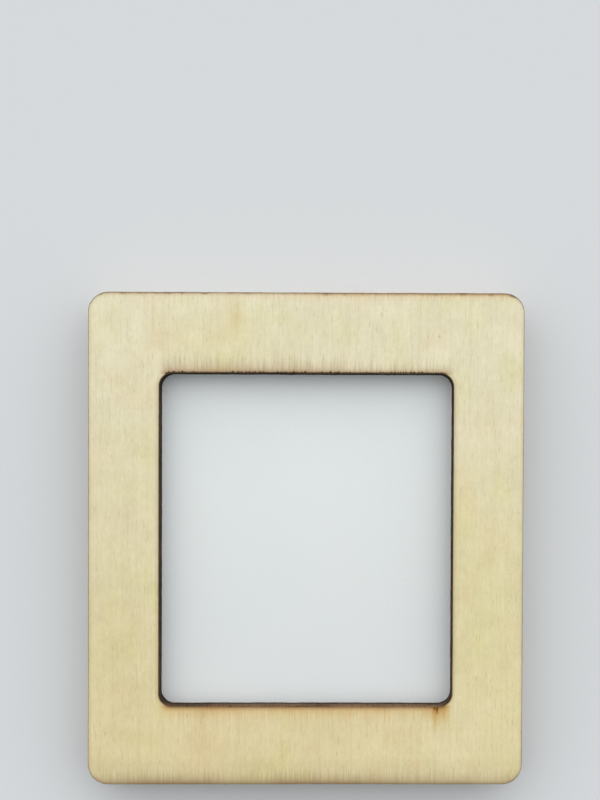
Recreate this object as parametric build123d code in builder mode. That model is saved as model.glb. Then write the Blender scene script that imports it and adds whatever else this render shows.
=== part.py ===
from build123d import *
import os

# A small magnetic photo frame, upright as it hangs on a steel surface: X is its width, Z its height, and
# its front looks towards -Y. The origin is the centre of the magnet's rear face. Sizes are in millimetres.

# Window that shows the photo
window_width = 44.0
window_height = 50.0
window_radius = 2.0

# Wooden frame around the window
side_rail = 10.6
head_rail = 12.1
foot_rail = 11.75
corner_radius = 3.0

# Plies of the plywood
face_ply = 0.7
core_ply = 1.6
rear_ply = 0.7

# Photo card in its pocket
card_thickness = 0.4
card_face_gap = 0.2  # room in front of the card and behind it
card_side_gap = 0.5  # room beside the card at each side strip
card_overlap = 3.0  # how far the card reaches behind the wood, past the window's sides and lower edge

# Tape strips, back board and magnet
tape_inset = 2.0  # from the wood's outline to the tape
board_inset = 1.0  # from the wood's outline to the back board
board_thickness = 1.0
adhesive_thickness = 0.1
magnet_margin = 4.0  # from the board's outline to the magnet
magnet_thickness = 0.8
magnet_radius = 2.0

# Outlines
frame_width = window_width + 2 * side_rail
frame_height = foot_rail + window_height + head_rail
window_middle = (foot_rail - head_rail) / 2  # height above the middle of the frame
board_width = frame_width - 2 * board_inset
board_height = frame_height - 2 * board_inset
board_radius = corner_radius - board_inset
magnet_width = board_width - 2 * magnet_margin
magnet_height = board_height - 2 * magnet_margin

# Card, which stands on the lower tape strip and ends level with the board's top edge
card_width = window_width + 2 * card_overlap
card_bottom = window_middle - window_height / 2 - card_overlap
card_top = board_height / 2
card_height = card_top - card_bottom
card_middle = (card_top + card_bottom) / 2

# Pocket between the tape strips
pocket_width = card_width + 2 * card_side_gap
pocket_depth = card_thickness + 2 * card_face_gap
tape_top = frame_height / 2 - tape_inset
side_tape_height = 2 * tape_top
side_tape_width = frame_width / 2 - tape_inset - pocket_width / 2
side_tape_middle = (pocket_width + side_tape_width) / 2
lower_tape_height = card_bottom + tape_top
lower_tape_middle = (card_bottom - tape_top) / 2

# Depth of each layer's rear face, counted forwards from the magnet's rear face
adhesive_depth = magnet_thickness
board_depth = adhesive_depth + adhesive_thickness
pocket_rear = board_depth + board_thickness
card_depth = pocket_rear + card_face_gap
rear_veneer_depth = pocket_rear + pocket_depth
core_veneer_depth = rear_veneer_depth + rear_ply
face_veneer_depth = core_veneer_depth + core_ply

os.makedirs("parts", exist_ok=True)


# Veneers, three equal rings glued into one sheet of plywood
plies = {
    "rear_veneer": (rear_veneer_depth, rear_ply),
    "core_veneer": (core_veneer_depth, core_ply),
    "face_veneer": (face_veneer_depth, face_ply),
}
for name, (depth, thickness) in plies.items():
    with BuildPart() as veneer:
        with BuildSketch(Plane.XZ.offset(depth)):
            RectangleRounded(frame_width, frame_height, corner_radius)
            with Locations((0, window_middle)):
                RectangleRounded(window_width, window_height, window_radius, mode=Mode.SUBTRACT)
        extrude(amount=thickness)
    veneer.part.label = name
    export_step(veneer.part, f"parts/{name}.step")

# Side tape strips, the pocket's left and right walls
for name, side in {"tape_left": -1, "tape_right": 1}.items():
    with BuildPart() as side_tape:
        with BuildSketch(Plane.XZ.offset(pocket_rear)):
            with Locations((side * side_tape_middle, 0)):
                Rectangle(side_tape_width, side_tape_height)
        extrude(amount=pocket_depth)
    side_tape.part.label = name
    export_step(side_tape.part, f"parts/{name}.step")

# Lower tape strip, the pocket's floor
with BuildPart() as tape_bottom:
    with BuildSketch(Plane.XZ.offset(pocket_rear)):
        with Locations((0, lower_tape_middle)):
            Rectangle(pocket_width, lower_tape_height)
    extrude(amount=pocket_depth)
tape_bottom.part.label = "tape_bottom"
export_step(tape_bottom.part, "parts/tape_bottom.step")

# Photo card, loose in the pocket, which is open at the top
with BuildPart() as photo_card:
    with BuildSketch(Plane.XZ.offset(card_depth)):
        with Locations((0, card_middle)):
            Rectangle(card_width, card_height)
    extrude(amount=card_thickness)
photo_card.part.label = "photo_card"
export_step(photo_card.part, "parts/photo_card.step")

# Back board, with corners that follow the wood's
with BuildPart() as back_board:
    with BuildSketch(Plane.XZ.offset(board_depth)):
        RectangleRounded(board_width, board_height, board_radius)
    extrude(amount=board_thickness)
back_board.part.label = "back_board"
export_step(back_board.part, "parts/back_board.step")

# Magnet and the adhesive film on its front, cut to one outline
for name, depth, thickness in (
    ("magnet_adhesive", adhesive_depth, adhesive_thickness),
    ("magnet_sheet", 0, magnet_thickness),
):
    with BuildPart() as magnet_layer:
        with BuildSketch(Plane.XZ.offset(depth)):
            RectangleRounded(magnet_width, magnet_height, magnet_radius)
        extrude(amount=thickness)
    magnet_layer.part.label = name
    export_step(magnet_layer.part, f"parts/{name}.step")
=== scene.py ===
import math
from collections import namedtuple

import bpy
import numpy as np
from mathutils import Euler, Matrix, Vector, noise


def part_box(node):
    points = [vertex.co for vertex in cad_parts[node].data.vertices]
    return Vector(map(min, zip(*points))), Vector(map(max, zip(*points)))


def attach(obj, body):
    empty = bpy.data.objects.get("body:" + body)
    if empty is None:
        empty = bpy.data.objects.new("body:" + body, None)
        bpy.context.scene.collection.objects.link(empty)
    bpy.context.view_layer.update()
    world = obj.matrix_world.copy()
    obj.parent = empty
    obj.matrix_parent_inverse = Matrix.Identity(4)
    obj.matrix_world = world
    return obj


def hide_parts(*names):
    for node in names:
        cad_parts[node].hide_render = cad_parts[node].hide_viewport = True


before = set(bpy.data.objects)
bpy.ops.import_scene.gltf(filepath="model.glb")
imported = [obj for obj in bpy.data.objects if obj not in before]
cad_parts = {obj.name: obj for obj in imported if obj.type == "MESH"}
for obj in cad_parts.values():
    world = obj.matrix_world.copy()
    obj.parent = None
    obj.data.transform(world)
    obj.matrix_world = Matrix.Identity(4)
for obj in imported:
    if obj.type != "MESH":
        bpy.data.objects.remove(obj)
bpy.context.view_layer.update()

# Lengths are in millimetres in the CAD frame, and are scaled to metres where they go into the scene.
MM = 0.001


# Sizes read from the CAD nodes

ON_LINE = 0.01  # how near to a line a point has to lie to be on it
LEAST_RAIL = 5.0  # narrower than any rail: points further in from the outline belong to the window

RoundedRectangle = namedtuple("RoundedRectangle", "middle half_width half_height radius")


def corners(node):
    """Lowest and highest corner of a CAD node."""
    low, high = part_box(node)
    return np.array(low) / MM, np.array(high) / MM


def plan_points(node):
    """A CAD node's points as seen from the front, as rows of x and z."""
    places = np.array([vertex.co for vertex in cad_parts[node].data.vertices]) / MM
    return places[:, [0, 2]]


def rounded_rectangle(points):
    """The rounded rectangle, centred on x = 0, that has these points. Its middle is a height."""
    low, high = points.min(axis=0), points.max(axis=0)
    middle = (low[1] + high[1]) / 2
    half_width, half_height = (high - low) / 2
    on_side = np.abs(points[:, 0]) > half_width - ON_LINE
    radius = half_height - np.abs(points[on_side, 1] - middle).max()
    return RoundedRectangle(middle, half_width, half_height, radius)


wood_points = plan_points("face_veneer")
OUTLINE = rounded_rectangle(wood_points)
within_rails = np.abs(wood_points) < np.array([OUTLINE.half_width, OUTLINE.half_height]) - LEAST_RAIL
WINDOW = rounded_rectangle(wood_points[within_rails.all(axis=1)])
WINDOW_TOP = WINDOW.middle + WINDOW.half_height
WINDOW_FOOT = WINDOW.middle - WINDOW.half_height
RAIL = OUTLINE.half_width - WINDOW.half_width
WOOD_FRONT = corners("face_veneer")[0][1]
WOOD_REAR = corners("rear_veneer")[1][1]
PLY_JOINTS = [corners(node)[0][1] for node in ("core_veneer", "rear_veneer")]


# Shader nodes

class Shader:
    """One material's nodes. Any input takes a number, a colour or another node's output."""

    def __init__(self, name, gloss=0.3):
        self.material = bpy.data.materials.new(name)
        self.material.use_nodes = True
        self.nodes = self.material.node_tree.nodes
        self.links = self.material.node_tree.links
        self.surface = self.nodes["Principled BSDF"]
        self.surface.inputs["Specular IOR Level"].default_value = gloss
        place = self.nodes.new("ShaderNodeTexCoord").outputs["Object"]
        self.place = self.vector("MULTIPLY", place, (1 / MM,) * 3)
        split = self.nodes.new("ShaderNodeSeparateXYZ")
        self.feed(split.inputs[0], self.place)
        self.x, self.y, self.z = split.outputs

    def feed(self, socket, value):
        if isinstance(value, bpy.types.NodeSocket):
            self.links.new(value, socket)
        else:
            socket.default_value = value

    def vector(self, operation, first, second):
        node = self.nodes.new("ShaderNodeVectorMath")
        node.operation = operation
        self.feed(node.inputs[0], first)
        self.feed(node.inputs[1], second)
        return node.outputs[0]

    def math(self, operation, first, second=0.0):
        node = self.nodes.new("ShaderNodeMath")
        node.operation = operation
        self.feed(node.inputs[0], first)
        self.feed(node.inputs[1], second)
        return node.outputs[0]

    def product(self, *factors):
        result = factors[0]
        for factor in factors[1:]:
            result = self.math("MULTIPLY", result, factor)
        return result

    def weighted(self, base, *terms):
        """The base with fields added to it, each times its weight."""
        result = base
        for field, weight in terms:
            result = self.math("ADD", result, self.product(field, weight))
        return result

    def ramp(self, value, start, end):
        """Goes smoothly from 0 at start to 1 at end, whichever of the two is higher."""
        node = self.nodes.new("ShaderNodeMapRange")
        node.interpolation_type = "SMOOTHSTEP"
        self.feed(node.inputs["Value"], value)
        self.feed(node.inputs["From Min"], start)
        self.feed(node.inputs["From Max"], end)
        return node.outputs[0]

    def fade(self, distance, reach):
        """1 at no distance, falling to 0 at the reach, quickly at first."""
        share = self.math("DIVIDE", distance, reach)
        node = self.nodes.new("ShaderNodeClamp")
        self.feed(node.inputs[0], self.math("SUBTRACT", 1.0, share))
        return self.math("POWER", node.outputs[0], 2.0)

    def noise(self, stretch, seed, detail=2.0):
        """Noise about 0.5, with that many features to a millimetre along each axis."""
        node = self.nodes.new("ShaderNodeTexNoise")
        scaled = self.vector("MULTIPLY", self.place, stretch)
        self.feed(node.inputs["Vector"], self.vector("ADD", scaled, (seed,) * 3))
        node.inputs["Scale"].default_value = 1.0
        node.inputs["Detail"].default_value = detail
        return node.outputs[0]

    def mix(self, share, first, second):
        """Goes from the first colour to the second, through the mix node's colour sockets 6, 7 and 2."""
        node = self.nodes.new("ShaderNodeMix")
        node.data_type = "RGBA"
        self.feed(node.inputs[0], share)
        self.feed(node.inputs[6], first)
        self.feed(node.inputs[7], second)
        return node.outputs[2]

    def tone(self, share, colour, factors):
        """Multiplies a colour by the factors, as far as the share goes."""
        return self.mix(share, colour, self.vector("MULTIPLY", colour, factors))

    def beside(self, place, along=None):
        """Distance from a place along X, or along the axis that is given."""
        return self.math("ABSOLUTE", self.math("SUBTRACT", self.x if along is None else along, place))

    def spot(self, shape):
        """1 in the middle of a soft spot, which is given by its x, z, half width and half height."""
        x, z, half_width, half_height = shape
        across = self.ramp(self.beside(x), half_width, 0.0)
        along = self.ramp(self.beside(z, self.z), half_height, 0.0)
        return self.product(across, along)

    def outside(self, shape):
        """Distance to a rounded rectangle, negative inside it."""
        across = self.math("SUBTRACT", self.math("ABSOLUTE", self.x), shape.half_width - shape.radius)
        along = self.math("SUBTRACT", self.beside(shape.middle, self.z), shape.half_height - shape.radius)
        beyond_x = self.math("MAXIMUM", across, 0.0)
        beyond_z = self.math("MAXIMUM", along, 0.0)
        squares = self.math("ADD", self.product(beyond_x, beyond_x), self.product(beyond_z, beyond_z))
        within = self.math("MINIMUM", self.math("MAXIMUM", across, along), 0.0)
        return self.math("SUBTRACT", self.math("ADD", self.math("SQRT", squares), within), shape.radius)

    def finish(self, colour, roughness, height, depth):
        """Sets the surface: depth is how deep the height's full swing is, in millimetres."""
        bump = self.nodes.new("ShaderNodeBump")
        bump.inputs["Strength"].default_value = 1.0
        bump.inputs["Distance"].default_value = depth * MM
        self.feed(bump.inputs["Height"], height)
        self.feed(self.surface.inputs["Base Color"], colour)
        self.feed(self.surface.inputs["Roughness"], roughness)
        self.feed(self.surface.inputs["Normal"], bump.outputs[0])
        return self.material


def srgb(red, green, blue):
    """A colour written as 0 to 255 screen values, made linear by the sRGB curve."""
    shares = np.array([red, green, blue]) / 255
    linear = np.where(shares <= 0.04045, shares / 12.92, ((shares + 0.055) / 1.055) ** 2.4)
    return (*linear.tolist(), 1.0)


# Colours

# PALE_WOOD and YELLOW_WOOD are the ends of painted light from above: pale at the head, yellow at the foot
PALE_WOOD = srgb(236, 230, 200)
YELLOW_WOOD = srgb(227, 214, 170)
AMBER_WOOD = srgb(202, 154, 84)
RUSTY_WOOD = srgb(150, 104, 68)
TOASTED_WOOD = srgb(126, 98, 68)
SCORCHED_WOOD = srgb(92, 72, 46)
CHAR = srgb(40, 33, 19)

CUT_BLACK = srgb(50, 42, 31)
CUT_UMBER = srgb(128, 101, 87)
CUT_TAN = srgb(140, 108, 72)
CUT_SOOT = srgb(36, 29, 21)
GLUE_LINE = srgb(28, 22, 18)

CARD_GREY, CARD_WHITE = srgb(224, 230, 230), srgb(230, 235, 234)
CARD_CLOUD = srgb(222, 228, 230)
FOAM_GREY, FOAM_WHITE = srgb(214, 212, 206), srgb(236, 235, 231)
BOARD_DARK, BOARD_PALE = srgb(158, 150, 138), srgb(184, 176, 162)
BOARD_CLOUD = srgb(150, 143, 133)
BOARD_FLECK, BOARD_SPECK = srgb(92, 84, 76), srgb(224, 219, 208)
RUBBER_DARK, RUBBER_PALE = srgb(47, 43, 41), srgb(58, 54, 51)
RUBBER_DUST = srgb(84, 79, 74)
FILM_DARK, FILM_PALE = srgb(206, 196, 168), srgb(222, 214, 190)

# What the wood's colour is multiplied by in its grain, its tinted patches, its patches of painted shade
# and painted light, and its burns
FIBRE_TONE = (0.76, 0.735, 0.67)
PORE_TONE = (0.66, 0.6, 0.52)
CLOUD_TONE = (0.86, 0.85, 0.78)
GREEN_TONE = (0.975, 0.985, 0.9)
PINK_TONE = (1.0, 0.95, 0.925)
HONEY_TONE = (0.975, 0.965, 0.87)
LEMON_TONE = (0.98, 0.998, 0.92)
# Painted shade
PAINTED_SHADE_TONE = (0.96, 0.96, 0.945)
# Painted light
PAINTED_LIGHT_TONE = (1.03, 1.055, 1.08)
SPECK_TONE = (0.7, 0.66, 0.58)
STAIN_TONE = (0.87, 0.73, 0.55)
SCORCH_TONE = (0.26, 0.18, 0.04)

# Painted shade: what the card's white is multiplied by at its foot
CARD_FOOT_PAINTED_SHADE = (0.92, 0.912, 0.915)


# Wood grain

# Marks on the face: x, z, half width and half height
FLECKS = ((11.2, 33.6, 0.18, 0.6), (19.8, 30.4, 0.22, 0.45))
KNOT_SMEAR = (-10.6, 32.8, 2.2, 5.0)
TINT_AND_PAINTED_LIGHT_PATCHES = (
    ((-14.0, 29.8, 15.0, 7.0), HONEY_TONE),
    ((-10.6, 32.8, 2.6, 6.0), HONEY_TONE),
    ((23.3, 4.0, 4.0, 9.0), HONEY_TONE),
    ((27.0, -8.0, 10.0, 24.0), LEMON_TONE),
    # Painted shade over the left rail
    ((-29.5, -4.0, 9.0, 40.0), PAINTED_SHADE_TONE),
    # Painted light, paler and bluer, over the lower right
    ((24.0, -30.0, 20.0, 26.0), PAINTED_LIGHT_TONE),
)


def wood_grain(wood):
    """Colour, relief and fibres of pale rotary-cut veneer with upright grain."""
    painted_light_rise = wood.ramp(wood.z, -OUTLINE.half_height, OUTLINE.half_height)
    hairs = wood.ramp(wood.noise((5.2, 1.0, 3.0), seed=29.0, detail=1.0), 0.3, 0.7)
    short_fibres = wood.ramp(wood.noise((3.1, 1.0, 0.8), seed=11.0, detail=3.0), 0.3, 0.7)
    long_fibres = wood.ramp(wood.noise((2.2, 1.0, 0.08), seed=23.0, detail=3.0), 0.32, 0.7)
    fibres = wood.weighted(0.0, (short_fibres, 0.38), (long_fibres, 0.32), (hairs, 0.3))
    pores = wood.ramp(wood.noise((5.2, 1.0, 0.7), seed=37.0, detail=1.0), 0.64, 0.76)
    threads = wood.ramp(wood.noise((4.0, 1.0, 0.07), seed=73.0, detail=1.0), 0.64, 0.76)
    clouds = wood.ramp(wood.noise((0.24, 1.0, 0.26), seed=41.0, detail=5.0), 0.36, 0.68)
    mottle = wood.ramp(wood.noise((1.0, 1.0, 1.3), seed=79.0, detail=3.0), 0.34, 0.7)
    hue = wood.noise((0.16, 1.0, 0.13), seed=67.0, detail=3.0)

    # Painted light from above: paler towards the head and yellower towards the foot
    colour = wood.mix(painted_light_rise, YELLOW_WOOD, PALE_WOOD)
    colour = wood.tone(wood.product(fibres, 0.5), colour, FIBRE_TONE)
    colour = wood.tone(wood.product(clouds, 0.36), colour, CLOUD_TONE)
    colour = wood.tone(wood.product(mottle, 0.14), colour, CLOUD_TONE)
    colour = wood.tone(wood.product(threads, 0.13), colour, PORE_TONE)
    colour = wood.tone(wood.ramp(hue, 0.5, 0.3), colour, GREEN_TONE)
    colour = wood.tone(wood.product(wood.ramp(hue, 0.52, 0.72), 0.8), colour, PINK_TONE)
    colour = wood.tone(wood.product(pores, 0.32), colour, PORE_TONE)
    for patch, tone_factors in TINT_AND_PAINTED_LIGHT_PATCHES:
        colour = wood.tone(wood.spot(patch), colour, tone_factors)
    for fleck in FLECKS:
        colour = wood.tone(wood.spot(fleck), colour, SPECK_TONE)
    colour = wood.mix(wood.product(wood.spot(KNOT_SMEAR), 0.12), colour, AMBER_WOOD)
    relief = wood.math("SUBTRACT", wood.product(fibres, -0.5), pores)
    return colour, relief, fibres


# Browning of the face along its cuts

# How far it reaches at least, and how much further where it is drawn up the fibres
SOOT_REACH = (1.4, 2.4)
THREAD_REACH = (1.2, 2.6)
AMBER_REACH = (1.8, 2.4)
FOOT_REACH = (2.0, 2.0)
HEAD_REACH = (0.7, 1.2)
SOOT_FURTHER_LEFT = 1.1

# Rims beside the cuts, and the reach of the browner stretches under the window
UPPER_RIM, LOWER_RIM = 1.0, 0.7
WINDOW_RIM, OUTLINE_RIM = 0.9, 0.75
STRETCH_REACH = 3.0

# Where along X the soot grows to the left, the head burns more and the foot less
SOOT_LEFT = (10.0, -3.0)
HEAD_RIGHT = (-14.0, 6.0)
FOOT_RIGHT = (14.0, 24.0)

# From where to where the darker band by the foot and the haze by the head grow, by their distance from
# the foot and the head
FOOT_DARK_BAND = (4.6, 2.8)
HEAD_HAZE = (1.8, 0.3)

# Soft limits: past the window's edges, in from its ends, and in from the outline's sides
PAST_EDGE = 0.3
WINDOW_ENDS = 1.2
SIDE_START, SIDE_FULL = 1.2, 0.6

# Browner stretches of the cut under the window: x and half width
WINDOW_STAINS = ((-14.5, 2.8), (3.6, 4.2), (11.8, 1.6))

# Burn mark under the window, near its right end: offset from the middle, half width, length and share
BURN_X = 19.65
BURN_STAINS = (
    (1.1, 1.6, 4.4, 1.0),
    (-1.2, 1.9, 3.0, 0.6),
    (0.5, 1.2, 3.2, 1.0),
    (-0.3, 0.9, 2.4, 1.0),
)
BURN_TAILS = ((-0.22, 0.65, 4.9, 1.0), (0.05, 0.4, 2.0, 0.5))
BURN_FORKS = ((-0.24, 0.27, 0.8, 0.75), (0.14, 0.26, 1.4, 0.9))

# Charred line round the window: its width and soft edge, and what is added to them above the window.
# The width is just under 0, so that little but the soft edge shows at the sides and below.
CHAR_WIDTH, CHAR_SOFTNESS = -0.01, 0.16
CHAR_WIDTH_ABOVE, CHAR_TICKS_ABOVE, CHAR_SOFTNESS_ABOVE = 0.04, 0.3, 0.08

# Scorched line round the outline: its width, and what is added to it in patches and near the head
SCORCH_WIDTH, SCORCH_PATCHES = 0.1, 0.12
NEAR_HEAD = (1.0, 0.5)
HEAD_WIDTH, HEAD_TICKS, HEAD_BREAKS, HEAD_WIDTH_RIGHT = 0.16, 0.22, 0.34, 0.1


class Cuts:
    """Fields that the browning follows: distances to the cuts, and how unevenly they burn."""

    def __init__(self, wood):
        self.wood = wood
        self.drawn = wood.ramp(wood.noise((3.6, 0.0, 0.06), seed=53.0, detail=4.0), 0.34, 0.7)
        self.threads = wood.ramp(wood.noise((6.0, 0.0, 0.25), seed=97.0, detail=2.0), 0.44, 0.68)
        self.patches = wood.ramp(wood.noise((0.1, 0.0, 0.04), seed=59.0, detail=2.0), 0.36, 0.64)
        self.from_window = wood.outside(WINDOW)
        self.from_outline = wood.product(wood.outside(OUTLINE), -1.0)
        self.above_window = wood.math("SUBTRACT", wood.z, WINDOW_TOP)
        self.below_window = wood.math("SUBTRACT", WINDOW_FOOT, wood.z)
        self.above_foot = wood.math("ADD", wood.z, OUTLINE.half_height)
        self.below_head = wood.math("SUBTRACT", OUTLINE.half_height, wood.z)
        self.right = wood.ramp(wood.x, *HEAD_RIGHT)

        # Lower than the window anywhere, and below or above it within its width
        off_middle = wood.math("ABSOLUTE", wood.x)
        across = wood.ramp(off_middle, WINDOW.half_width + PAST_EDGE, WINDOW.half_width - WINDOW_ENDS)
        self.is_lower = wood.ramp(self.below_window, -PAST_EDGE, 0.0)
        self.is_below = wood.product(self.is_lower, across)
        self.is_above = wood.product(wood.ramp(self.above_window, -PAST_EDGE, 0.0), across)
        side = OUTLINE.half_width
        self.at_side = wood.ramp(off_middle, side - SIDE_START, side - SIDE_FULL)

    def reach(self, least, further):
        """How far browning reaches from a cut, further where it is drawn up the fibres."""
        return self.wood.weighted(least, (self.drawn, further))


def brown_above_window(wood, cuts, colour):
    """Soot above the window, more on the left, with brown threads drawn up the fibres."""
    left = wood.ramp(wood.x, *SOOT_LEFT)
    reach = wood.weighted(cuts.reach(*SOOT_REACH), (left, SOOT_FURTHER_LEFT))
    soot = wood.fade(cuts.above_window, reach)
    share = wood.weighted(0.4, (left, 0.18))
    colour = wood.mix(wood.product(soot, cuts.is_above, share), colour, RUSTY_WOOD)
    streaks = wood.fade(cuts.above_window, cuts.reach(*THREAD_REACH))
    colour = wood.mix(wood.product(streaks, cuts.is_above, cuts.threads, 0.45), colour, TOASTED_WOOD)
    rim = wood.fade(cuts.above_window, UPPER_RIM)
    return wood.mix(wood.product(rim, cuts.is_above, 0.3), colour, AMBER_WOOD)


def brown_below_window(wood, cuts, colour):
    """Amber below the window, with a thin brown rim and some browner stretches."""
    streaks = wood.fade(cuts.below_window, cuts.reach(*AMBER_REACH))
    share = wood.weighted(0.56, (cuts.patches, 0.28))
    colour = wood.mix(wood.product(streaks, cuts.is_below, share), colour, AMBER_WOOD)
    rim = wood.fade(cuts.from_window, LOWER_RIM)
    colour = wood.mix(wood.product(rim, cuts.is_below, 0.7), colour, TOASTED_WOOD)
    stain = wood.fade(cuts.below_window, STRETCH_REACH)
    for place, half_width in WINDOW_STAINS:
        beside = wood.ramp(wood.beside(place), half_width, 0.0)
        colour = wood.tone(wood.product(beside, stain, cuts.is_below, 0.6), colour, STAIN_TONE)
    return colour


def brown_foot(wood, cuts, colour):
    """Brown streaks up from the foot, weaker at the right end, over a faint darker band along the foot.
    """
    streaks = wood.fade(cuts.above_foot, cuts.reach(*FOOT_REACH))
    right_end = wood.ramp(wood.x, *FOOT_RIGHT)
    share = wood.weighted(0.66, (cuts.patches, 0.22), (right_end, -0.2))
    colour = wood.mix(wood.product(streaks, share), colour, TOASTED_WOOD)
    # A faint darker band along the foot
    haze = wood.ramp(cuts.above_foot, *FOOT_DARK_BAND)
    return wood.mix(wood.product(haze, 0.08), colour, TOASTED_WOOD)


def brown_head(wood, cuts, colour):
    """A thin amber rim and a pink haze along the head, more on the right."""
    rim = wood.fade(cuts.below_head, cuts.reach(*HEAD_REACH))
    share = wood.weighted(0.32, (cuts.right, wood.weighted(0.1, (cuts.patches, 0.3))))
    colour = wood.mix(wood.product(rim, share), colour, AMBER_WOOD)
    haze = wood.ramp(cuts.below_head, *HEAD_HAZE)
    share = wood.weighted(0.4, (cuts.right, 0.6))
    return wood.tone(wood.product(haze, share), colour, PINK_TONE)


def brown_edges(wood, cuts, colour):
    """Brown beside every cut, and less at the sides of the outline."""
    beside_window = wood.fade(cuts.from_window, WINDOW_RIM)
    colour = wood.mix(wood.product(beside_window, 0.5), colour, TOASTED_WOOD)
    beside_outline = wood.fade(cuts.from_outline, OUTLINE_RIM)
    share = wood.weighted(0.62, (cuts.at_side, -0.22))
    return wood.mix(wood.product(beside_outline, share), colour, TOASTED_WOOD)


def burn_mark(wood, cuts, colour):
    """Amber stains that overlap in the mark's middle, faint tails and short scorched forks."""
    streaky = wood.weighted(0.65, (cuts.drawn, 0.35))
    for marks, tone_factors, evenness, full_share in (
        (BURN_STAINS, STAIN_TONE, streaky, 0.03),
        (BURN_TAILS, STAIN_TONE, 1.0, 0.3),
        (BURN_FORKS, SCORCH_TONE, 1.0, 0.3),
    ):
        for offset, half_width, length, share in marks:
            beside = wood.ramp(wood.beside(BURN_X + offset), half_width, 0.0)
            along = wood.ramp(cuts.below_window, length, full_share * length)
            burnt = wood.product(beside, along, cuts.is_lower, evenness, share)
            colour = wood.tone(burnt, colour, tone_factors)
    return colour


def charred_lines(wood, cuts, colour):
    """Charred lines along the cuts, rougher above the window and broken at the head."""
    clumps = wood.ramp(wood.noise((0.17, 0.0, 0.0), seed=7.0, detail=1.0), 0.4, 0.6)
    ticks = wood.ramp(wood.noise((2.4, 0.0, 0.0), seed=83.0, detail=5.0), 0.4, 0.72)
    ticks = wood.product(ticks, wood.weighted(0.4, (clumps, 0.6)))
    breaks = wood.ramp(wood.noise((0.5, 0.0, 0.0), seed=89.0, detail=4.0), 0.46, 0.7)

    above = wood.weighted(CHAR_WIDTH_ABOVE, (ticks, CHAR_TICKS_ABOVE))
    width = wood.weighted(CHAR_WIDTH, (cuts.is_above, above))
    softness = wood.weighted(CHAR_SOFTNESS, (cuts.is_above, CHAR_SOFTNESS_ABOVE))
    colour = wood.mix(wood.ramp(cuts.from_window, wood.math("ADD", width, softness), width), colour, CHAR)

    near_head = wood.ramp(cuts.below_head, *NEAR_HEAD)
    at_head = wood.weighted(
        HEAD_WIDTH, (ticks, HEAD_TICKS), (breaks, HEAD_BREAKS), (cuts.right, HEAD_WIDTH_RIGHT)
    )
    width = wood.weighted(SCORCH_WIDTH, (cuts.patches, SCORCH_PATCHES), (near_head, at_head))
    share = wood.weighted(0.5, (breaks, 0.4), (cuts.at_side, -0.2))
    return wood.mix(wood.product(wood.ramp(cuts.from_outline, width, 0.0), share), colour, SCORCHED_WOOD)


def veneer_wood():
    """Pale veneer, browned far into the fibres that a cut crosses and little beside the others."""
    wood = Shader("veneer_wood", gloss=0.15)
    colour, relief, fibres = wood_grain(wood)
    cuts = Cuts(wood)
    for add_browning in (
        brown_above_window,
        brown_below_window,
        brown_foot,
        brown_head,
        brown_edges,
        burn_mark,
        charred_lines,
    ):
        colour = add_browning(wood, cuts, colour)
    roughness = wood.weighted(0.6, (fibres, 0.1))
    return wood.finish(colour, roughness, relief, depth=0.012)


# Cut walls of the plywood

# In from the rear: how far it is all black, where that has gone, and where it starts to turn browner
BLACK_FULL, BLACK_END = 0.3, 1.3
BROWN_START = 0.8

# Half width of a glue line, with its soft edge and without
GLUE_LINE_HALF = (0.09, 0.03)


def charred_cut():
    """Laser-cut wall: browner across the grain and at the face, and blacker where it looks down, which is
    painted shade.
    """
    wall = Shader("charred_cut", gloss=0.06)
    normal = wall.nodes.new("ShaderNodeSeparateXYZ")
    wall.feed(normal.inputs[0], wall.nodes.new("ShaderNodeNewGeometry").outputs["Normal"])
    along_grain = wall.ramp(wall.math("ABSOLUTE", normal.outputs["X"]), 0.25, 0.75)
    # Painted shade: walls that look down are kept black, as if in shade from light above
    painted_light_from_above = wall.ramp(normal.outputs["Z"], -1.0, -0.4)
    lines = wall.noise((3.5, 0.25, 3.5), seed=5.0, detail=3.0)
    stretches = wall.ramp(wall.noise((0.13, 0.2, 0.13), seed=17.0, detail=2.0), 0.38, 0.64)
    off_rear = wall.ramp(wall.y, WOOD_REAR - BLACK_FULL, WOOD_REAR - BLACK_END)
    towards_face = wall.ramp(wall.y, WOOD_REAR - BROWN_START, WOOD_FRONT)
    brown = wall.weighted(0.16, (stretches, 0.46), (towards_face, 0.24))
    brown = wall.product(brown, off_rear, wall.weighted(1.0, (along_grain, -0.75)), painted_light_from_above)
    colour = wall.mix(brown, CUT_BLACK, wall.mix(towards_face, CUT_UMBER, CUT_TAN))
    colour = wall.mix(wall.product(wall.ramp(lines, 0.42, 0.75), 0.5), colour, CUT_SOOT)
    for joint in PLY_JOINTS:
        glue = wall.ramp(wall.beside(joint, wall.y), *GLUE_LINE_HALF)
        colour = wall.mix(wall.product(glue, 0.6), colour, GLUE_LINE)
    return wall.finish(colour, 0.8, lines, depth=0.03)


# Card, tape, board, magnet and adhesive

def card_paper():
    """Smooth white card with a faint fibre mottle, and painted shade that makes it a little darker
    towards its foot.
    """
    paper = Shader("card_paper")
    fibres = paper.noise((4.0, 4.0, 4.0), seed=3.0, detail=4.0)
    clouds = paper.noise((0.08, 0.08, 0.06), seed=9.0)
    colour = paper.mix(paper.ramp(fibres, 0.3, 0.7), CARD_GREY, CARD_WHITE)
    colour = paper.mix(paper.product(paper.ramp(clouds, 0.4, 0.7), 0.3), colour, CARD_CLOUD)
    colour = paper.tone(paper.ramp(paper.z, WINDOW_TOP, WINDOW_FOOT), colour, CARD_FOOT_PAINTED_SHADE)
    return paper.finish(colour, 0.62, fibres, depth=0.006)


def tape_foam():
    """White foam tape with fine cells."""
    foam = Shader("tape_foam")
    cells = foam.noise((7.0, 7.0, 7.0), seed=2.0, detail=3.0)
    colour = foam.mix(foam.ramp(cells, 0.35, 0.7), FOAM_GREY, FOAM_WHITE)
    return foam.finish(colour, 0.85, cells, depth=0.05)


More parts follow.
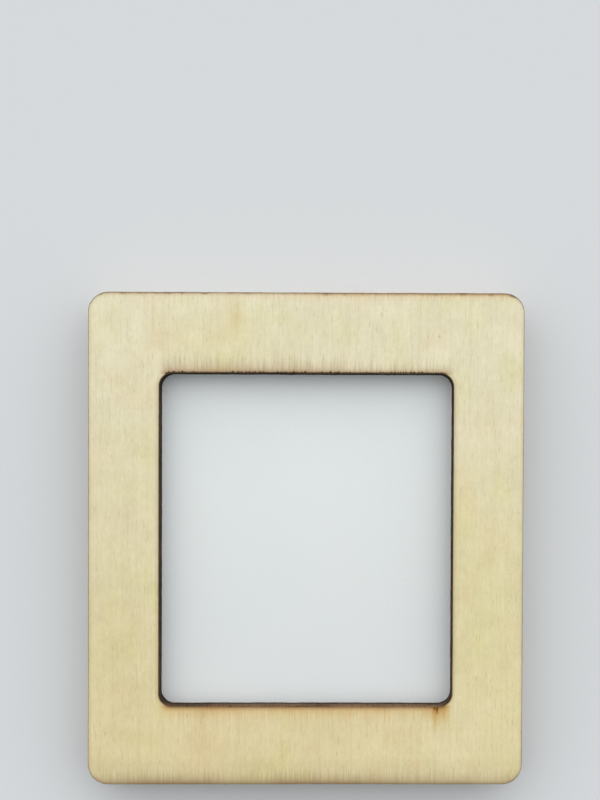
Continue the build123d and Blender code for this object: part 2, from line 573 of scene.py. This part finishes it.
def grey_board():
    """Recycled grey board with pale and dark fibres."""
    board = Shader("grey_board")
    fibres = board.noise((1.6, 1.6, 7.0), seed=13.0, detail=4.0)
    flecks = board.ramp(board.noise((2.6, 2.6, 3.4), seed=31.0, detail=1.0), 0.68, 0.76)
    specks = board.ramp(board.noise((3.1, 3.1, 2.2), seed=47.0, detail=1.0), 0.7, 0.77)
    clouds = board.noise((0.15, 0.15, 0.12), seed=19.0)
    colour = board.mix(board.ramp(fibres, 0.3, 0.7), BOARD_DARK, BOARD_PALE)
    colour = board.mix(board.product(board.ramp(clouds, 0.35, 0.7), 0.4), colour, BOARD_CLOUD)
    colour = board.mix(board.product(flecks, 0.6), colour, BOARD_FLECK)
    colour = board.mix(board.product(specks, 0.6), colour, BOARD_SPECK)
    return board.finish(colour, 0.88, fibres, depth=0.03)


def magnet_rubber():
    """Dark ferrite-filled rubber with faint lines from its rollers and dusty scuffs."""
    rubber = Shader("magnet_rubber")
    lines = rubber.noise((0.03, 0.5, 2.4), seed=7.0, detail=2.0)
    dust = rubber.ramp(rubber.noise((0.9, 0.9, 0.7), seed=61.0, detail=5.0), 0.5, 0.75)
    colour = rubber.mix(rubber.ramp(lines, 0.3, 0.7), RUBBER_DARK, RUBBER_PALE)
    colour = rubber.mix(rubber.product(dust, 0.3), colour, RUBBER_DUST)
    roughness = rubber.weighted(0.5, (dust, 0.25))
    return rubber.finish(colour, roughness, lines, depth=0.02)


def adhesive_film():
    """Cream acrylic adhesive."""
    film = Shader("adhesive_film")
    blotches = film.noise((0.8, 0.8, 0.8), seed=71.0, detail=2.0)
    colour = film.mix(film.ramp(blotches, 0.35, 0.7), FILM_DARK, FILM_PALE)
    return film.finish(colour, 0.4, blotches, depth=0.01)


# Meshes

WALL_STEP = 0.12  # height of a row of faces on a wall
HOLD = 0.12  # from an eased edge to a flat face's first row, close by so that the face is shaded flat


def wander(first, second, seed):
    """Smooth noise from -1 to 1 over the plane, the same each run."""
    samples = [noise.noise((a, b, seed)) for a, b in zip(first.ravel(), second.ravel())]
    return np.array(samples).reshape(first.shape)


def make_piece(name, points, faces, slots, materials):
    """A mesh piece from points in millimetres, with one material slot number for each face."""
    mesh = bpy.data.meshes.new(name)
    mesh.from_pydata((points * MM).tolist(), [], faces.tolist())
    for material in materials:
        mesh.materials.append(material)
    mesh.polygons.foreach_set("material_index", slots)
    mesh.polygons.foreach_set("use_smooth", [True] * len(faces))
    mesh.validate()
    piece = bpy.data.objects.new(name, mesh)
    bpy.context.scene.collection.objects.link(piece)
    return piece


# Plywood

# Steps along the straight stretches of an outline and round each corner
ALONG_X, ALONG_Z, PER_CORNER = 190, 220, 14

# Rows of points over the face and over the other flat sides
FACE_ROWS, PLAIN_ROWS = 42, 3

# Eased edges: radius and steps
EASE, EASE_STEPS = 0.07, 3

# How rough a cut is, how much more so across the grain, and how far that reaches into the rail
CUT_ROUGHNESS = 0.034
ACROSS_GRAIN = 0.6
CUT_REACH = 0.25

# How far the window's cut narrows, and leans in x and z, on its way to the rear
CUT_TAPER = 0.08
CUT_LEAN = (0.13, -0.15)

# Waves to a millimetre in a ragged cut, and the fine ones' share
COARSE_WAVES, FINE_WAVES = 0.9, 3.3
FINE_SHARE = 0.35

# Raised grain: depth, and waves to a millimetre across and along the grain
GRAIN_WAVES = ((0.006, 1.7, 0.07), (0.004, 0.5, 0.03))


def outline(shape):
    """Points round a rounded rectangle, anticlockwise from the front, from the right side's upper end."""
    turns = np.linspace(0, math.pi / 2, PER_CORNER + 1)
    across, along = shape.half_width - shape.radius, shape.half_height - shape.radius
    arcs = []
    for quarter, (side, end) in enumerate(((1, 1), (-1, 1), (-1, -1), (1, -1))):
        angles = turns + quarter * math.pi / 2
        centre = np.array([side * across, shape.middle + end * along])
        arcs.append(centre + shape.radius * np.stack([np.cos(angles), np.sin(angles)], axis=1))
    stretches = []
    for quarter, arc in enumerate(arcs):
        following = arcs[(quarter + 1) % 4]
        count = ALONG_X if quarter % 2 == 0 else ALONG_Z
        shares = np.linspace(0, 1, count + 1)[1:-1, None]
        stretches += [arc, arc[-1] + shares * (following[0] - arc[-1])]
    return np.concatenate(stretches)


def section(front, rear, front_rows):
    """Rows round a rail's section: share of the way out from the window, y, and if it is a cut wall."""
    turns = np.linspace(0, math.pi / 2, EASE_STEPS + 1)
    arc = list(zip(1 - np.cos(turns), 1 - np.sin(turns)))
    eased = EASE / RAIL
    flat = (EASE + HOLD) / RAIL
    wall_rows = max(2, round((rear - front - 2 * EASE) / WALL_STEP))
    wall = np.linspace(front + EASE, rear - EASE, wall_rows + 1)[1:-1]
    rows = [(eased * rising, front + EASE * falling, True) for rising, falling in arc]
    rows += [(share, front, False) for share in np.linspace(flat, 1 - flat, front_rows)]
    rows += [(1 - eased * falling, front + EASE * rising, True) for rising, falling in arc]
    rows += [(1.0, y, True) for y in wall]
    rows += [(1 - eased * rising, rear - EASE * falling, True) for rising, falling in arc]
    rows += [(share, rear, False) for share in np.linspace(1 - flat, flat, PLAIN_ROWS)]
    rows += [(eased * falling, rear - EASE * rising, True) for rising, falling in arc]
    rows += [(0.0, y, True) for y in wall[::-1]]
    return rows


def ply_points(shares, depths, front, seed):
    """A ply's points, row by row: laid out between the window and the outline, and then roughened."""
    inner, outer = outline(WINDOW), outline(OUTLINE)
    out = outer - inner
    away = out / np.linalg.norm(out, axis=1)[:, None]
    x = inner[:, 0] + shares * out[:, 0]
    z = inner[:, 1] + shares * out[:, 1]
    y = np.repeat(depths, len(inner), axis=1)

    # Ragged cuts, rougher where they cross the grain: the outline's only draws back into the wood
    rough = CUT_ROUGHNESS * (1 + ACROSS_GRAIN * np.abs(away[:, 1]))
    coarse = wander(x * COARSE_WAVES, z * COARSE_WAVES, seed)
    fine = wander(x * FINE_WAVES, z * FINE_WAVES + y, seed + 1)
    ragged = (1 - FINE_SHARE) * coarse + FINE_SHARE * fine
    near_window = np.exp(-shares * RAIL / CUT_REACH)
    near_outline = np.exp(-(1 - shares) * RAIL / CUT_REACH)
    drawn_back = rough * (near_window * ragged - near_outline * (1 + ragged))
    depth = (y - WOOD_FRONT) / (WOOD_REAR - WOOD_FRONT) * near_window
    x = x + (drawn_back - depth * CUT_TAPER) * away[:, 0] + depth * CUT_LEAN[0]
    z = z + (drawn_back - depth * CUT_TAPER) * away[:, 1] + depth * CUT_LEAN[1]

    # Raised grain on the front
    sunk = np.zeros_like(y)
    for number, (deep, across, along) in enumerate(GRAIN_WAVES):
        sunk += deep * (1 - wander(x * across, z * along, seed + 2 + number))
    y = y + np.where(np.isclose(depths, front), sunk, 0.0)
    return np.stack([x, y, z], axis=2)


def veneer(node, front_rows, seed):
    """One ply of the frame: a closed ring with laser-cut walls, eased edges and raised grain."""
    low, high = corners(node)
    rows = section(low[1], high[1], front_rows)
    shares = np.array([row[0] for row in rows])[:, None]
    depths = np.array([row[1] for row in rows])[:, None]
    is_wall = np.array([row[2] for row in rows])
    points = ply_points(shares, depths, low[1], seed)
    loops, count = points.shape[:2]
    numbers = np.arange(loops * count).reshape(loops, count)
    below = np.roll(numbers, -1, axis=0)
    faces = np.stack([numbers, below, np.roll(below, -1, axis=1), np.roll(numbers, -1, axis=1)], axis=2)
    slots = np.repeat(is_wall & np.roll(is_wall, -1), count).astype(int).tolist()
    piece = make_piece(node + "_wood", points.reshape(-1, 3), faces.reshape(-1, 4), slots, (WOOD, CUT))
    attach(piece, "frame")
    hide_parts(node)


WOOD, CUT = veneer_wood(), charred_cut()
veneer("face_veneer", front_rows=FACE_ROWS, seed=1.5)
veneer("core_veneer", front_rows=PLAIN_ROWS, seed=14.5)
veneer("rear_veneer", front_rows=PLAIN_ROWS, seed=27.5)


# Flat sheets

EASE_MIDDLE = 0.3  # share of an eased edge where the line between its ends lies
CORNER_LINES = 5  # lines over the rest of a round corner
FRONT_WAVES, REAR_WAVES = 0.11, 0.13  # waves to a millimetre in a sheet's two faces


def grid_lines(low, high, step, ease, radius):
    """Places of grid lines between two edges, closer at an eased edge and a round corner."""
    near = [0.0, EASE_MIDDLE * ease, ease, ease + HOLD]
    if radius > near[-1]:
        near += np.linspace(near[-1], radius, CORNER_LINES + 1)[1:].tolist()
    near = np.array(near)
    inside = near[-1]
    count = max(2, round((high - low - 2 * inside) / step))
    middle = np.linspace(low + inside, high - inside, count + 1)[1:-1]
    return np.concatenate([low + near, middle, high - near[::-1]])


def round_corners(x, z, middle, half, radius):
    """Draws the square corners of a grid in to round ones."""
    off_x, off_z = x - middle[0], z - middle[2]
    across = np.clip((np.abs(off_x) - (half[0] - radius)) / radius, 0, 1)
    along = np.clip((np.abs(off_z) - (half[2] - radius)) / radius, 0, 1)
    out_x = half[0] - radius + radius * across * np.sqrt(1 - along**2 / 2)
    out_z = half[2] - radius + radius * along * np.sqrt(1 - across**2 / 2)
    in_corner = (across > 0) & (along > 0)
    turned_x = np.where(in_corner, middle[0] + np.sign(off_x) * out_x, x)
    turned_z = np.where(in_corner, middle[2] + np.sign(off_z) * out_z, z)
    return turned_x, turned_z


def from_edge(x, z, middle, half, radius):
    """How far each point of a grid lies in from the sheet's edge."""
    out_x, out_z = np.abs(x - middle[0]), np.abs(z - middle[2])
    past_x = np.maximum(out_x - (half[0] - radius), 0)
    past_z = np.maximum(out_z - (half[2] - radius), 0)
    straight = np.minimum(half[0] - out_x, half[2] - out_z)
    return np.where((past_x > 0) & (past_z > 0), radius - np.hypot(past_x, past_z), straight)


def sheet_mesh(front, rear, wall_rows):
    """Points and faces of a sheet: a grid in front, one at the rear, and a wall round their rims."""
    rows, columns = front.shape[:2]
    total = rows * columns
    numbers = np.arange(total).reshape(rows, columns)
    rim = np.concatenate([numbers[:, 0], numbers[-1, 1:], numbers[-2::-1, -1], numbers[0, -2:0:-1]])
    front, rear = front.reshape(-1, 3), rear.reshape(-1, 3)
    walls, loops = [], [rim]
    for level in range(1, wall_rows):
        share = level / wall_rows
        walls.append(front[rim] * (1 - share) + rear[rim] * share)
        loops.append(2 * total + (level - 1) * len(rim) + np.arange(len(rim)))
    loops.append(rim + total)
    quads = np.stack([numbers[:-1, :-1], numbers[1:, :-1], numbers[1:, 1:], numbers[:-1, 1:]], axis=2)
    quads = quads.reshape(-1, 4)
    faces = [quads, quads[:, [0, 3, 2, 1]] + total]
    for upper, lower in zip(loops, loops[1:]):
        faces.append(np.stack([upper, lower, np.roll(lower, -1), np.roll(upper, -1)], axis=1))
    return np.concatenate([front, rear, *walls]), np.concatenate(faces)


def plate(node, name, material, body, step, ease, wave=0.0, seed=0.0, radius=0.0):
    """A flat sheet with eased edges and slightly uneven faces."""
    low, high = corners(node)
    middle, half = (low + high) / 2, (high - low) / 2
    xs = grid_lines(low[0], high[0], step, ease, radius)
    zs = grid_lines(low[2], high[2], step, ease, radius)
    x, z = np.meshgrid(xs, zs, indexing="ij")
    if radius:
        x, z = round_corners(x, z, middle, half, radius)
    short_of_ease = np.maximum(ease - from_edge(x, z, middle, half, radius), 0)
    drop = ease - np.sqrt(np.maximum(ease**2 - short_of_ease**2, 0))
    front = low[1] + drop + wave * (1 + wander(x * FRONT_WAVES, z * FRONT_WAVES, seed)) / 2
    rear = high[1] - drop - wave * (1 + wander(x * REAR_WAVES, z * REAR_WAVES, seed + 1)) / 2
    wall_rows = max(1, round((high[1] - low[1] - 2 * ease) / WALL_STEP))
    points, faces = sheet_mesh(np.stack([x, front, z], axis=2), np.stack([x, rear, z], axis=2), wall_rows)
    piece = make_piece(name, points, faces, [0] * len(faces), (material,))
    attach(piece, body)
    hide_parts(node)


board_radius = rounded_rectangle(plan_points("back_board")).radius
magnet_radius = rounded_rectangle(plan_points("magnet_sheet")).radius
plate(
    "photo_card", "photo_card_paper", card_paper(), "card",
    step=1.5, ease=0.05, wave=0.02, seed=3.5,
)
plate(
    "back_board", "back_board_grey", grey_board(), "frame",
    step=1.2, ease=0.12, wave=0.03, seed=8.5, radius=board_radius,
)
plate(
    "magnet_sheet", "magnet_rubber", magnet_rubber(), "frame",
    step=1.2, ease=0.10, wave=0.03, seed=11.5, radius=magnet_radius,
)
plate(
    "magnet_adhesive", "magnet_glue", adhesive_film(), "frame",
    step=2.0, ease=0.02, radius=magnet_radius,
)
tape_material = tape_foam()
for node in ("tape_left", "tape_right", "tape_bottom"):
    plate(node, node + "_foam", tape_material, "frame", step=1.0, ease=0.1)


# Stage

BACKDROP_COLOUR = srgb(214, 217, 219)
FLOOR_COLOUR = srgb(176, 178, 180)
SHEET_HALF = 500.0
BACKDROP_BEHIND = 0.4  # just behind the magnet's rear face, which is at y = 0
FLOOR_HEIGHT = -150.0
FADE_START, FADE_END = 140.0, 400.0  # where a sheet fades out, from the origin


def sheet_material(name, colour):
    """A matt colour that only the camera sees, from the front, and that fades out far from the origin."""
    material = bpy.data.materials.new(name)
    material.use_nodes = True
    nodes, links = material.node_tree.nodes, material.node_tree.links
    nodes.remove(nodes["Principled BSDF"])
    diffuse = nodes.new("ShaderNodeBsdfDiffuse")
    diffuse.inputs["Color"].default_value = colour
    clear = nodes.new("ShaderNodeBsdfTransparent")
    from_front = nodes.new("ShaderNodeMath")
    from_front.operation = "SUBTRACT"
    from_front.use_clamp = True
    links.new(nodes.new("ShaderNodeLightPath").outputs["Is Camera Ray"], from_front.inputs[0])
    links.new(nodes.new("ShaderNodeNewGeometry").outputs["Backfacing"], from_front.inputs[1])
    reach = nodes.new("ShaderNodeVectorMath")
    reach.operation = "LENGTH"
    links.new(nodes.new("ShaderNodeTexCoord").outputs["Object"], reach.inputs[0])
    soft = nodes.new("ShaderNodeMapRange")
    soft.interpolation_type = "SMOOTHSTEP"
    links.new(reach.outputs["Value"], soft.inputs["Value"])
    soft.inputs["From Min"].default_value = FADE_START * MM
    soft.inputs["From Max"].default_value = FADE_END * MM
    soft.inputs["To Min"].default_value = 1.0
    soft.inputs["To Max"].default_value = 0.0
    seen = nodes.new("ShaderNodeMath")
    seen.operation = "MULTIPLY"
    links.new(from_front.outputs[0], seen.inputs[0])
    links.new(soft.outputs[0], seen.inputs[1])
    mixed = nodes.new("ShaderNodeMixShader")
    links.new(seen.outputs[0], mixed.inputs[0])
    links.new(clear.outputs[0], mixed.inputs[1])
    links.new(diffuse.outputs[0], mixed.inputs[2])
    links.new(mixed.outputs[0], nodes["Material Output"].inputs["Surface"])
    return material


def stage_sheet(name, corner_points, colour):
    """A pale sheet with soft ends, which takes shadows."""
    mesh = bpy.data.meshes.new(name)
    mesh.from_pydata((np.array(corner_points) * MM).tolist(), [], [(0, 1, 2, 3)])
    mesh.materials.append(sheet_material(name, colour))
    sheet = bpy.data.objects.new(name, mesh)
    bpy.context.scene.collection.objects.link(sheet)


square = [
    (-SHEET_HALF, -SHEET_HALF),
    (SHEET_HALF, -SHEET_HALF),
    (SHEET_HALF, SHEET_HALF),
    (-SHEET_HALF, SHEET_HALF),
]
stage_sheet("backdrop", [(across, BACKDROP_BEHIND, up) for across, up in square], BACKDROP_COLOUR)
stage_sheet("floor", [(across, back, FLOOR_HEIGHT) for across, back in square], FLOOR_COLOUR)


# Light

DOME_LEVEL = 1.0  # strength of the light that comes in level
DOME_TILT = 1.25  # how much is added to that overhead, as a share of it


def light_dome():
    """A soft dome, brightest overhead, that diffuse rays see: other rays see the backdrop's colour."""
    world = bpy.data.worlds.new("studio")
    bpy.context.scene.world = world
    world.use_nodes = True
    nodes, links = world.node_tree.nodes, world.node_tree.links
    direction = nodes.new("ShaderNodeSeparateXYZ")
    links.new(nodes.new("ShaderNodeTexCoord").outputs["Generated"], direction.inputs[0])
    dome = nodes.new("ShaderNodeMapRange")
    links.new(direction.outputs["Z"], dome.inputs["Value"])
    dome.inputs["From Min"].default_value = -1 / DOME_TILT
    dome.inputs["To Max"].default_value = DOME_LEVEL * (1 + DOME_TILT)
    lit = nodes["Background"]
    lit.inputs["Color"].default_value = (1.0, 1.0, 1.0, 1.0)
    links.new(dome.outputs[0], lit.inputs["Strength"])
    pale = nodes.new("ShaderNodeBackground")
    pale.inputs["Color"].default_value = BACKDROP_COLOUR
    path = nodes.new("ShaderNodeLightPath")
    shown = path.outputs["Is Camera Ray"]
    for ray in ("Is Glossy Ray", "Is Transmission Ray"):
        either = nodes.new("ShaderNodeMath")
        either.operation = "MAXIMUM"
        links.new(shown, either.inputs[0])
        links.new(path.outputs[ray], either.inputs[1])
        shown = either.outputs[0]
    choice = nodes.new("ShaderNodeMixShader")
    links.new(shown, choice.inputs[0])
    links.new(lit.outputs[0], choice.inputs[1])
    links.new(pale.outputs[0], choice.inputs[2])
    links.new(choice.outputs[0], nodes["World Output"].inputs["Surface"])


light_dome()


# Camera

CAMERA_PLACE = (-3.56, -208.2, 24.715)
CAMERA_TURN = (-1.095, -0.196, -0.727)  # degrees about X, Y and Z from looking straight along +Y
FOCAL_PIXELS = 1356  # focal length in the photo's pixels
PHOTO_HEIGHT = 800  # pixels
SENSOR = 36.0  # along the picture's longer side
CLIP_START = 5.0  # nearest distance that the camera sees


def photo_camera():
    """The camera, at the photo's viewing angle."""
    lens = bpy.data.cameras.new("camera")
    lens.sensor_width = SENSOR
    lens.lens = SENSOR * FOCAL_PIXELS / PHOTO_HEIGHT
    lens.clip_start = CLIP_START * MM
    camera = bpy.data.objects.new("camera", lens)
    facing = Euler([math.radians(angle) for angle in CAMERA_TURN], "XYZ").to_matrix().to_4x4()
    upright = Matrix.Rotation(math.pi / 2, 4, "X")
    camera.matrix_world = Matrix.Translation(Vector(CAMERA_PLACE) * MM) @ facing @ upright
    bpy.context.scene.collection.objects.link(camera)
    bpy.context.scene.camera = camera


photo_camera()
bpy.context.scene.view_settings.view_transform = "Standard"
